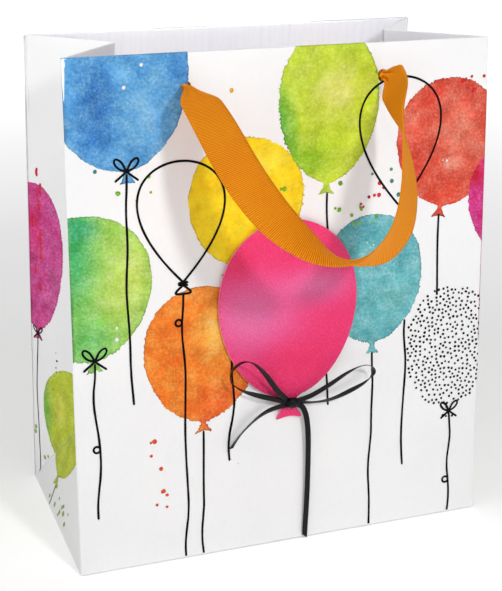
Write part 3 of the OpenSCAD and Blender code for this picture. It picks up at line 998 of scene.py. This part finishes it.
def clip(poly, box):
    """The part of a polygon that lies in a box."""
    x0, y0, x1, y1 = box
    for axis, bound, sign in ((0, x0, 1), (0, x1, -1), (1, y0, 1), (1, y1, -1)):
        out = []
        for a, b in zip(poly, np.roll(poly, -1, axis=0)):
            ina, inb = (a[axis] - bound) * sign >= 0, (b[axis] - bound) * sign >= 0
            if ina:
                out.append(a)
            if ina != inb:
                t = (bound - a[axis]) / (b[axis] - a[axis])
                out.append(a + (b - a) * t)
        if len(out) < 3:
            return np.zeros((0, 2))
        poly = np.array(out)
    return poly


def even_outline(outline, step):
    """A closed outline with its points at even steps, and the direction across it at each."""
    o = resample(np.vstack([outline, outline[:1]]), step)[0][:-1]
    t = unit(np.roll(o, -1, 0) - np.roll(o, 1, 0))
    return o, np.stack([t[:, 1], -t[:, 0]], -1)


def grid_inside(poly, step, margin, rng=None):
    """Grid points inside a polygon and away from its edge; rng moves each a little."""
    lo, hi = poly.min(0), poly.max(0)
    gx, gy = np.meshgrid(np.arange(lo[0], hi[0], step), np.arange(lo[1], hi[1], step))
    p = np.stack([gx.ravel(), gy.ravel()], -1)
    if rng is not None:
        p = p + rng.uniform(-0.5, 0.5, p.shape) * step * 0.7
    p = p[inside(p, poly)]
    return p[edge_distance(p, poly) > margin]


def flat_mesh(outline, inner, tolerance):
    """Triangles that fill an outline through the points inside it."""
    points = [Vector(p) for p in np.vstack([outline, inner])]
    vs, _, fs, _, _, _ = delaunay_2d_cdt(points, [], [list(range(len(outline)))], 1, tolerance)
    return np.array([tuple(v) for v in vs]), fs


class Print:
    """Shapes on a flat sheet, in mm, with a lift above the paper and a colour at each point."""

    def __init__(self, box):
        self.box = box
        self.v, self.f, self.c = [], [], []

    def add(self, pts, tris, colors, lift):
        k = len(self.v)
        self.v += [(p[0], p[1], lift) for p in pts]
        self.f += [tuple(int(i) + k for i in t) for t in tris]
        self.c += [tuple(c) for c in colors]

    def fill(self, outline, paint, lift, seed, rough=0.42):
        """A painted shape with a frayed edge."""
        rng = np.random.RandomState(seed)
        o, nrm = even_outline(catmull(outline, 8, closed=True), 0.55)
        angle = np.arctan2(*(o - o.mean(0)).T[::-1])
        bite = 0.45 + 0.55 * (np.sin(angle + seed) > 0.1)
        fine = np.array([noise.noise(Vector((p[0] * 1.2, p[1] * 1.2, seed * 7.3))) for p in o])
        wide = np.array([noise.noise(Vector((p[0] * 0.2, p[1] * 0.2, seed * 3.1))) for p in o])
        fray = rough * (fine * 2.4 * bite + wide * 1.2) + rng.uniform(-0.09, 0.09, len(o))
        o = o + nrm * fray[:, None]
        cut = clip(o, self.box)
        if len(cut) < 3:
            return
        middle = grid_inside(cut, 1.7, 0.6, rng)
        ring = o - nrm * 0.75
        ring = ring[inside(ring, cut)]
        ring = ring[edge_distance(ring, cut) > 0.35]
        vs, fs = flat_mesh(cut, np.vstack([ring, middle]), 1e-4)
        self.add(vs, fs, paint(vs, edge_distance(vs, o)), lift)

    def dot(self, x, y, r, color, lift, sides=10):
        """A dot that is a little uneven, and lighter at its middle."""
        rng = np.random.RandomState(int(abs(x * 31 + y * 17) * 10) % 9973)
        a = np.linspace(0, 2 * math.pi, sides, endpoint=False)
        rr = r * (1 + rng.uniform(-0.16, 0.16, sides))
        pts = clip(np.stack([x + rr * np.cos(a), y + rr * np.sin(a)], -1), self.box)
        if len(pts) < 3:
            return
        c = np.asarray(color)
        tris = [(0, i + 1, (i + 1) % len(pts) + 1) for i in range(len(pts))]
        self.add(np.vstack([pts.mean(0), pts]), tris, [np.minimum(1, c * 1.15)] + [c * 0.72] * len(pts), lift)

    def stroke(self, points, width, lift, color=BLACK, seed=1):
        """A pen stroke through points, with pointed ends."""
        p, s = resample(catmull(points, 8), 0.5)
        if len(p) < 3:
            return
        t = unit(np.gradient(p, axis=0))
        nrm = np.stack([-t[:, 1], t[:, 0]], -1)
        w = width * (1 + 0.16 * np.array([noise.noise(Vector((u * 0.11, seed * 2.7, 0))) for u in s]))
        end = np.minimum(s, s[-1] - s)
        w = w * np.sqrt(np.clip((end + 0.12) / (width * 0.6), 0.2, 1))
        keep = (p >= self.box[:2]).all(1) & (p <= self.box[2:]).all(1)
        a, b = p + nrm * w[:, None] / 2, p - nrm * w[:, None] / 2
        k = len(self.v)
        for x, y in zip(a, b):
            self.v += [(x[0], x[1], lift), (y[0], y[1], lift)]
            self.c += [color, color]
        for i in range(len(p) - 1):
            if keep[i] and keep[i + 1]:
                self.f.append((k + 2 * i, k + 2 * i + 1, k + 2 * i + 3, k + 2 * i + 2))


def blob(p, x, y, rx, ry):
    """A soft patch: 1 at its middle, 0 outside."""
    return 1 - smoothstep(np.sqrt(((p[:, 0] - x) / rx) ** 2 + ((p[:, 1] - y) / ry) ** 2))


def patched(p, color, patches):
    """A colour at each point, with soft patches of others laid over it."""
    c = np.tile(np.asarray(color, float), (len(p), 1))
    for *where, tone, share in patches:
        k = (blob(p, *where) * share)[:, None]
        c = c * (1 - k) + np.asarray(tone, float) * k
    return c


def mottle(p, scale, seed):
    """Cloudy noise, about -1 to 1."""
    return np.array([noise.fractal(Vector((q[0] * scale, q[1] * scale, seed)), 0.6, 2.1, 4) for q in p])


RIM_W = 0.8  # width of the dark rim where a wash dried
RIM_DARK = 0.66
GRAIN = 0.035


def wash(base, seed, patches):
    """Paint of one watercolour shape: a base colour, soft patches of others, grain and a dark rim."""
    def paint(p, dist):
        c = patched(p, base, patches)
        m = mottle(p, 0.11, seed) * GRAIN * 2.2 + mottle(p, 0.5, seed + 9) * GRAIN
        c = c * (1 + m[:, None])
        edge = 1 - smoothstep(dist / RIM_W)
        wobble = np.clip(0.55 + mottle(p, 0.09, seed + 4), 0, 1)
        c = c * (1 - (1 - RIM_DARK) * (edge * wobble)[:, None])
        return lin(np.clip(c, 4, 255))

    return paint


# base colour, seed, and patches: middle, half width, half height, colour and strength
PAINTS = {
    "blue": wash((90, 160, 214), 1, [
        (-92, 228, 13, 34, (48, 112, 180), .9), (-96, 214, 14, 14, (62, 128, 196), .6),
        (-52, 240, 12, 16, (66, 134, 200), .6), (-68, 222, 16, 22, (126, 190, 234), .7),
        (-80, 244, 10, 10, (122, 186, 228), .5)]),
    "green": wash((164, 210, 96), 2, [
        (-108, 160, 20, 44, (70, 180, 112), 1), (-100, 118, 22, 24, (112, 196, 104), .9),
        (-78, 148, 16, 30, (206, 222, 104), .8), (-103, 172, 16, 10, (48, 160, 104), .9),
        (-86, 136, 12, 20, (196, 220, 92), .6)]),
    "orange": wash((240, 128, 34), 3, [
        (-36, 116, 20, 24, (250, 190, 84), .9), (-60, 108, 14, 18, (238, 118, 26), .7),
        (-44, 92, 20, 10, (242, 138, 48), .7), (-34, 80, 24, 14, (238, 98, 34), .9),
        (-47, 134, 20, 6, (244, 150, 60), .6), (-42, 70, 10, 8, (236, 92, 34), 1)]),
    "yellow": wash((252, 218, 20), 4, [
        # the first patch, darker at the yellow's left, is painted shade where the handle's shadow falls
        (-36, 188, 16, 22, (240, 204, 14), .8), (-12, 196, 16, 14, (254, 226, 60), .8),
        (0, 176, 10, 26, (252, 214, 40), .6)]),
    "lime": wash((196, 218, 58), 5, [
        (-4, 212, 12, 30, (96, 176, 62), 1), (10, 196, 20, 16, (140, 196, 40), .8),
        (26, 228, 20, 18, (232, 234, 128), .9), (18, 204, 14, 12, (172, 208, 30), .7),
        (42, 214, 10, 22, (202, 220, 44), .6), (8, 236, 12, 12, (196, 216, 84), .6),
        (20, 180, 10, 6, (170, 206, 60), .8), (4, 205, 4, 24, (116, 186, 66), .5)]),
    "red": wash((216, 80, 60), 6, [
        (92, 204, 18, 28, (240, 140, 116), .8), (66, 210, 12, 16, (238, 122, 98), .7),
        (64, 186, 12, 18, (226, 64, 46), .8), (88, 174, 22, 10, (230, 78, 56), .6),
        (82, 222, 16, 10, (232, 88, 70), .5), (90, 188, 10, 5, (244, 160, 136), .7)]),
    "teal": wash((108, 184, 190), 7, [
        (38, 160, 18, 9, (76, 158, 172), .9), (60, 150, 16, 12, (96, 174, 184), .6),
        (56, 122, 18, 16, (116, 190, 190), .7), (40, 104, 16, 12, (98, 178, 180), .6)]),
    "magenta": wash((216, 54, 134), 8, [
        (103, 182, 8, 12, (204, 24, 62), 1), (104, 150, 8, 14, (206, 44, 122), .7)]),
    "gmagenta": wash((206, 70, 142), 9, [
        (50, 150, 9, 30, (212, 40, 110), .8), (36, 120, 10, 30, (196, 84, 146), .7),
        (46, 96, 8, 10, (222, 70, 146), .8)]),
    "glime": wash((190, 204, 44), 10, [
        (40, 44, 8, 34, (112, 178, 62), .9), (26, 52, 8, 18, (208, 208, 72), .9),
        (22, 22, 18, 10, (176, 192, 30), .6), (8, 26, 12, 10, (198, 206, 52), .7)]),
}
SPECKS = {
    "greendots": (128, 190, 34), "darkteal": (66, 140, 128), "reddots": (222, 34, 48),
    "orangered": (232, 70, 28), "yellowdot": (250, 186, 30), "whites": (255, 255, 255),
}

front = Print((-HALF_W + 0.12, 0.9, HALF_W - 0.12, TURN_UP + 1.0))
for i, (key, place) in enumerate(FILLS.items()):
    front.fill(balloon(*place), PAINTS[key], 0.05 + 0.008 * i, i + 1)
rng = np.random.RandomState(31)
for key, *where in SPLASHES:
    splash(front, rng, lin(SPECKS[key]), 0.13 if key == "whites" else 0.135, *where)

# pen lines, and the stippled balloon's dots, which keep their distance from each other
ink = Print(front.box)
for i, line in enumerate(STROKES):
    ink.stroke(line, 1.1, 0.16 + 0.001 * i, seed=i)
rng = np.random.RandomState(12)
chosen = []
for x, y in rng.uniform((64, 54), (110, 126), (9000, 2)):
    if len(chosen) < 520 and all((x - a) ** 2 + (y - b) ** 2 > 1.9 ** 2 for a, b in chosen):
        chosen.append((x, y))
chosen = np.array(chosen)
for x, y in chosen[inside(chosen, catmull(balloon(*STIPPLE), 6, closed=True))]:
    ink.dot(x, y, rng.uniform(0.6, 0.74), BLACK, 0.17, sides=8)


def print_mesh(name, p, mapper, mat):
    """A mesh of a print, whose mapper takes each flat point to its place on the paper."""
    v = np.array(p.v)
    used = sorted({i for f in p.f for i in f})
    back = {j: i for i, j in enumerate(used)}
    obj = make(name, [mapper(*v[i]) for i in used], [tuple(back[i] for i in f) for f in p.f], mat, fix=False)
    paint_points(obj.data, [p.c[i] for i in used])
    set_uv(obj, v[used][:, :2])
    return obj


def on_wall(how):
    """The mapper of a wall's print, which goes round the turn at the mouth."""
    def mapper(x, up, lift):
        bow = float(bulge(x * FLIP[how][0], up))
        if up <= TURN_UP:
            return placed(wall(x, up, bow + lift), how)
        r = TURN_R + PAPER / 2
        a = (up - TURN_UP) / r
        r_lift = r + lift + 0.07
        return placed(wall(x, TURN_UP + r_lift * math.sin(a), r_lift * math.cos(a) - r), how)
    return mapper


for side, how in (("front", "front"), ("back", "turn")):
    for part, p, mat in (("watercolour", front, PAINT), ("ink", ink, INK)):
        obj = print_mesh(f"{side}_{part}", p, on_wall(how), mat)
        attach(obj, side + "_wall")

side_paint = Print((-HALF_D + 0.2, 0.5, HALF_D - 0.2, BAG_H - 0.7))
side_paint.fill(balloon(50, 132, 21, 41, -2), PAINTS["gmagenta"], 0.05, 21, rough=0.3)
side_paint.fill(balloon(18, 46, 25, 29), PAINTS["glime"], 0.05, 22, rough=0.25)
rng = np.random.RandomState(41)
for up in range(116, 188, 9):
    x, half = 48 + rng.uniform(-4, 4), rng.uniform(2, 6)
    side_paint.stroke([(x, up - half), (x + 0.5, up), (x, up + half)], 1.6, 0.09, tuple(lin((214, 30, 62))))
splash(side_paint, rng, lin((150, 184, 60)), 0.09, (2, 7), (19, 7), 13, 1.5)
splash(side_paint, rng, lin((150, 184, 60)), 0.09, (46, 24), (7, 12), 4, 1.5)
side_ink = Print(side_paint.box)
for i, line in enumerate([string(48.5, 88, 5, 11, sway=2), string(17, 12, 0, 12), *bow(48.5, 88.5, 4)]):
    side_ink.stroke(line, 0.8, 0.12, seed=40 + i)
splash(side_ink, rng, (0.02, 0.02, 0.02), 0.12, (32, 72), (4, 14), 6, 0.8, sides=7)


def cut_print(p):
    """A gusset's print cut along its creases, as one print for each of its three parts."""
    me = bpy.data.meshes.new("flat")
    me.from_pydata(p.v, [], p.f)
    paint_points(me, p.c)
    bm = bmesh.new()
    bm.from_mesh(me)
    peak = (0, HALF_D, 0)
    for co, no in (((0, 0, 0), (1, 0, 0)), (peak, (1, 1, 0)), (peak, (-1, 1, 0)), (peak, (0, 1, 0))):
        every = bm.verts[:] + bm.edges[:] + bm.faces[:]
        bmesh.ops.bisect_plane(bm, geom=every, plane_co=co, plane_no=no, dist=1e-5)
    layer = bm.verts.layers.float_color["paint"]
    parts = {part: Print(p.box) for part in ("front", "back", "foot")}
    seen = {part: {} for part in parts}
    for f in bm.faces:
        q, s, _ = f.calc_center_median()
        part = "foot" if s < HALF_D - abs(q) else ("front" if q < 0 else "back")
        out, index = parts[part], seen[part]
        for v in f.verts:
            if v.index not in index:
                index[v.index] = len(out.v)
                out.v.append(tuple(v.co))
                out.c.append(tuple(v[layer])[:3])
        out.f.append(tuple(index[v.index] for v in f.verts))
    bm.free()
    bpy.data.meshes.remove(me)
    return parts


def on_gusset(part, how):
    """The mapper of one part of a gusset's print, which keeps just clear of the creases."""
    def mapper(q, s, lift):
        if part == "foot":
            q, s = q * 0.9995, min(s, HALF_D - abs(q)) * 0.999
            return placed(left_gusset(q, s) + FOOT_OUT * (lift - foot_hollow(q, s)), how)
        q = -max(abs(q), 0.02) if part == "front" else max(abs(q), 0.02)
        return placed(gusset_at(q, max(s, HALF_D - abs(q) + 0.02), lift), how)
    return mapper


def gusset_print(kind, p, mat, how):
    side = "right" if how == "turn" else "left"
    for part, piece in cut_print(p).items():
        if not piece.f:
            continue
        obj = print_mesh(f"{side}_gusset_{kind}_{part}", piece, on_gusset(part, how), mat)
        if part == "foot":
            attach(obj, side + "_gusset_triangle")
        else:
            at_front = (part == "front") != (side == "right")
            bend_half(obj, ("front_" if at_front else "back_") + side)


for how in ("front", "turn"):
    gusset_print("watercolour", side_paint, PAINT, how)
    gusset_print("ink", side_ink, INK, how)


# ---------------------------------------------------------------- the balloon card and its bow
CARD_NECK = [(4.4, 77.5), (3.6, 74.5), (4.6, 71), (6.9, 67.4), (6.2, 66.8), (3, 67.6)]
CARD_EDGE, CARD_CORE = (252, 60, 126), (255, 176, 208)
# soft patches painted into the card's colour: the lighter pink ones are a painted highlight across its
# middle, where a lamp's reflection would show; the two deeper pink ones strengthen its colour at the upper
# left and at the bottom
CARD_PAINTED_HIGHLIGHT = [(-20, 122, 44, 34, (252, 132, 192), 0.85), (16, 134, 30, 16, (252, 134, 192), 0.8),
             (-26, 150, 14, 14, (250, 30, 104), 0.8), (4, 96, 30, 18, (252, 34, 108), 0.9)]


def card():
    """The balloon card: a rounded edge in four rings, and two faces of which the front is a little domed."""
    ball = egg(np.radians(np.arange(167.5, -168, -2.5)), 36, 45) + (0, 123)
    neck = [(-x, y) for x, y in CARD_NECK] + [(0, 68)] + CARD_NECK[::-1]
    outline, nrm = even_outline(np.vstack([ball, neck]), 1.0)
    rings = [(off, FOAM_T + CARD_T * share) for off, share in ((0, 0), (0, 0.72), (-0.12, 0.93), (-0.35, 1))]
    pts, cols = [], []
    n = len(outline)
    for off, out in rings:
        pts += [(x, y, out) for x, y in outline + nrm * off]
        cols += [CARD_EDGE if off else CARD_CORE] * n
    faces = ring_faces(len(rings), n)
    inner = outline + nrm * rings[-1][0]
    middle = grid_inside(inner, 1.6, 0.7)
    for level, edge, dome in ((FOAM_T + CARD_T, inner, 0.5), (FOAM_T, outline, 0)):
        vs, fs = flat_mesh(edge, middle, 1e-5)
        faces += [tuple(int(i) + len(pts) for i in f) for f in fs]
        high = level + dome * smoothstep(edge_distance(vs, inner) / 26)
        pts += [(x, y, h) for (x, y), h in zip(vs, high)]
        # the faces' colour carries the painted highlight: lighter pink patches across the card's middle
        cols += [tuple(c) for c in patched(vs, (254, 44, 118), CARD_PAINTED_HIGHLIGHT)]
    obj = make("balloon_card_face", wall(*np.array(pts).T), faces, CARD)
    bm = bmesh.new()
    bm.from_mesh(obj.data)
    layer = bm.verts.layers.float_color.new("paint")
    bm.verts.ensure_lookup_table()
    for v, c in zip(bm.verts, cols):
        v[layer] = (*lin(c), 1)
    bmesh.ops.remove_doubles(bm, verts=bm.verts, dist=1e-6)
    bmesh.ops.recalc_face_normals(bm, faces=bm.faces)
    bm.to_mesh(obj.data)
    bm.free()
    sharp(obj, 40)
    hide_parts("balloon_card")
    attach(obj, "front_wall")


card()


def pads():
    """Five square foam pads with rounded corners and a slight waist."""
    verts, faces = [], []
    per_side, levels = 8, 7
    sides = 4 * per_side
    for x, y in ((-18, 108), (18, 108), (-18, 142), (18, 142), (0, 90)):
        k = len(verts)
        for h in np.linspace(0, 1, levels):
            half = 6.0 - 0.35 * math.sin(math.pi * h)
            out = h * FOAM_T + (1 - h) * float(bulge(x, y))
            for i in range(sides):
                side, u = i // per_side, i % per_side / per_side
                cx, cy = [(-1 + 2 * u, -1), (1, -1 + 2 * u), (1 - 2 * u, 1), (-1, 1 - 2 * u)][side]
                r = half * (1 - 0.06 * (abs(cx * cy)) ** 4)
                verts.append(wall(x + cx * r, y + cy * r, out))
        shape = ring_faces(levels, sides) + [tuple(range(sides))[::-1]]
        shape.append(tuple(range((levels - 1) * sides, levels * sides)))
        faces += [tuple(k + i for i in f) for f in shape]
    obj = make("foam_mounting_pads", verts, faces, FOAM)
    sharp(obj, 50)
    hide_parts("foam_pads")
    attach(obj, "front_wall")


pads()


def tube(points, radius, sides=14, flat=1.0, closed=False, normal=(0, 0, 1)):
    """A round or flattened tube along points; gives vertices, faces and (length, turn) of each vertex."""
    p = np.asarray(points, float)
    n = len(p)
    tan = unit(np.roll(p, -1, 0) - np.roll(p, 1, 0)) if closed else unit(np.gradient(p, axis=0))
    up = np.tile(np.asarray(normal, float), (n, 1)) if np.ndim(normal) == 1 else normal
    side = unit(np.cross(tan, up))
    up = np.cross(side, tan)
    s = np.concatenate([[0], np.cumsum(np.linalg.norm(np.diff(p, axis=0), axis=1))])
    r = radius if np.ndim(radius) else np.full(n, radius)
    a = np.linspace(0, 2 * math.pi, sides, endpoint=False)
    verts = (p[:, None] + side[:, None] * (np.cos(a) * r[:, None])[..., None]
             + up[:, None] * (np.sin(a) * r[:, None] * flat)[..., None]).reshape(-1, 3)
    uv = np.stack([np.repeat(s, sides), np.tile(a, n) * np.repeat(r, sides)], -1)
    faces = ring_faces(n, sides, closed)
    if not closed:
        faces += [tuple(range(sides)), tuple(range((n - 1) * sides, n * sides))[::-1]]
    return verts, faces, uv


def bow_knot():
    """A wrapped satin knot: three turns of ribbon round a core, at the throat of the card's neck."""
    x0, up0, out0 = 1.0, 75.8, 5.2
    t = np.linspace(0, 2 * math.pi, 34, endpoint=False)
    parts = []
    for dx, tilt, r in ((-1.3, 0.35, 2.15), (1.0, -0.25, 2.25), (0.0, 0.05, 2.45)):
        path = wall(x0 + dx + tilt * r * np.sin(t), up0 + r * np.sin(t), out0 + 0.92 * r * np.cos(t))
        parts.append(tube(path, 1.25, 12, 0.22, True, unit(path - wall(x0 + dx, up0, out0))))
    round_ends = np.sqrt(np.clip(1 - np.linspace(-1, 1, 12) ** 2 * 0.75, 0.2, 1))
    parts.append(tube(wall(np.linspace(-2.2, 4.2, 12), up0, 5.0), 1.9 * round_ends))
    verts, faces, flats = merged(parts)
    obj = make("satin_knot", verts, faces, SATIN)
    set_uv(obj, flats)
    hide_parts("bow_knot")
    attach(obj, "front_wall")


bow_knot()


def handle_knot(side, hand):
    """The overhand knot inside the wall, with its cut tail."""
    x = -HOLE_X if hand == "left" else HOLE_X
    depth = -(2 * PAPER + BOARD + 0.1 + 2.0)
    t = np.linspace(0, 4 * math.pi, 120, endpoint=False)
    r = 3.15 + 0.95 * np.cos(1.5 * t)
    path = wall(x + r * np.cos(t), HOLE_UP - 1 + 0.72 * r * np.sin(t), depth - 0.95 * np.sin(1.5 * t))
    stem = wall(x, HOLE_UP, np.linspace(0.6, depth, 8))
    outwards = unit(wall(0, 0, 1) - wall(0, 0, 0))
    verts, faces, flats = merged([tube(path, 1.25, 12, 0.85, True, outwards), tube(stem, 1.9, 12, 0.8)])
    obj = make(f"{side}_knot_{hand}", placed(verts, side), faces, GROSGRAIN)
    set_uv(obj, flats)

    def width(s, total):
        return 4 + 5.5 * smoothstep(s / 9)

    def pleat(s, total, v):
        return 0.5 * np.cos(3 * v + 0.4) * (1 - 0.5 * s / total)

    def cut_end(s, total, v):
        return 1.6 * v * smoothstep((s - total + 4) / 4)

    lean = -1.0 if hand == "left" else 1.2
    route = [(x, depth, HOLE_UP), (x + 0.3 * lean, depth - 0.6, HOLE_UP - 6),
             (x + lean, depth - 1.0, HOLE_UP - 13), (x + 1.6 * lean, depth - 0.6, HOLE_UP - 20)]
    tail, _, _ = ribbon("tail", GROSGRAIN, route, [(1, 0, 0), (1, .2, 0), (1, .1, 0), (1, -.15, 0)],
                        width, 0.5, RIB / 4, 9, side, pleat, cut_end, rib=0.14)
    for o in bpy.context.view_layer.objects:
        o.select_set(False)
    obj.select_set(True)
    tail.select_set(True)
    bpy.context.view_layer.objects.active = obj
    bpy.ops.object.join()
    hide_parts(f"{side}_{hand}_knot")
    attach(obj, side + "_wall")


for side in ("front", "back"):
    for hand in ("left", "right"):
        handle_knot(side, hand)

# ---------------------------------------------------------------- CAD nodes that stay
for names, mat in ((("front_board", "back_board", "base_board"), BOARD_MAT),
                   (("bottom_outer_flap", "bottom_inner_flap"), PRINTED),
                   (("bottom_left_flap", "bottom_right_flap"), INSIDE)):
    for name in names:
        slots = frame["nodes"][name].data.materials
        slots.clear()
        slots.append(mat)


# ---------------------------------------------------------------- floor and light
def stage():
    """A white floor that glows more with distance, so that it goes on into the background."""
    m = material("studio_floor", (250, 250, 250), 0.9)
    b = m.node_tree.nodes["Principled BSDF"]
    n = Nodes(m)
    n.base(n.ramp(n.noise(n.coords(), 3, 3), [(0.3, (248, 248, 248)), (0.7, (252, 252, 252))]))
    away = n.add("ShaderNodeVectorMath", operation="LENGTH")
    n.link(n.coords(), away.inputs[0])
    far = n.ramp(n.span(away.outputs["Value"], 0.3, 1.3, 0, 1), [(0, (148, 148, 148)), (1, (236, 236, 236))])
    n.link(far, b.inputs["Emission Color"])
    b.inputs["Emission Strength"].default_value = 1.0
    turns = 48
    rings = (300, 1000, 3000, 9000)
    angles = [2 * math.pi * k / turns for k in range(turns)]
    verts = [(r * math.cos(a), r * math.sin(a), 0) for r in rings for a in angles]
    floor = make("floor", verts, ring_faces(len(rings), turns) + [tuple(range(turns))], m, fix=False)


stage()


def area(name, at, toward, size, power, size_y=None):
    d = bpy.data.lights.new(name, "AREA")
    d.shape = "RECTANGLE"
    d.size, d.size_y = size, size_y or size
    d.energy = power
    o = link(bpy.data.objects.new(name, d))
    o.location = at
    o.rotation_euler = (Vector(toward) - Vector(at)).to_track_quat("-Z", "Y").to_euler()
    o.visible_camera = False
    return o


area("key", (0.10, -0.735, 0.586), (0, -0.055, 0.17), 0.085, 2.25)
area("soft_left", (-0.7, -0.22, 0.62), (-0.1, 0, 0.2), 0.5, 1.7)
area("top", (0, -0.3, 1.4), (0, 0, 0.2), 1.0, 3.6)
area("mouth", (0, -0.035, 0.33), (0, 0.042, 0.235), 0.18, 0.014, 0.02).data.spread = math.radians(50)
world = bpy.data.worlds.new("studio")
bpy.context.scene.world = world
world.use_nodes = True
world.node_tree.nodes["Background"].inputs["Color"].default_value = (1, 1, 1, 1)
world.node_tree.nodes["Background"].inputs["Strength"].default_value = 0.2

bpy.context.view_layer.update()
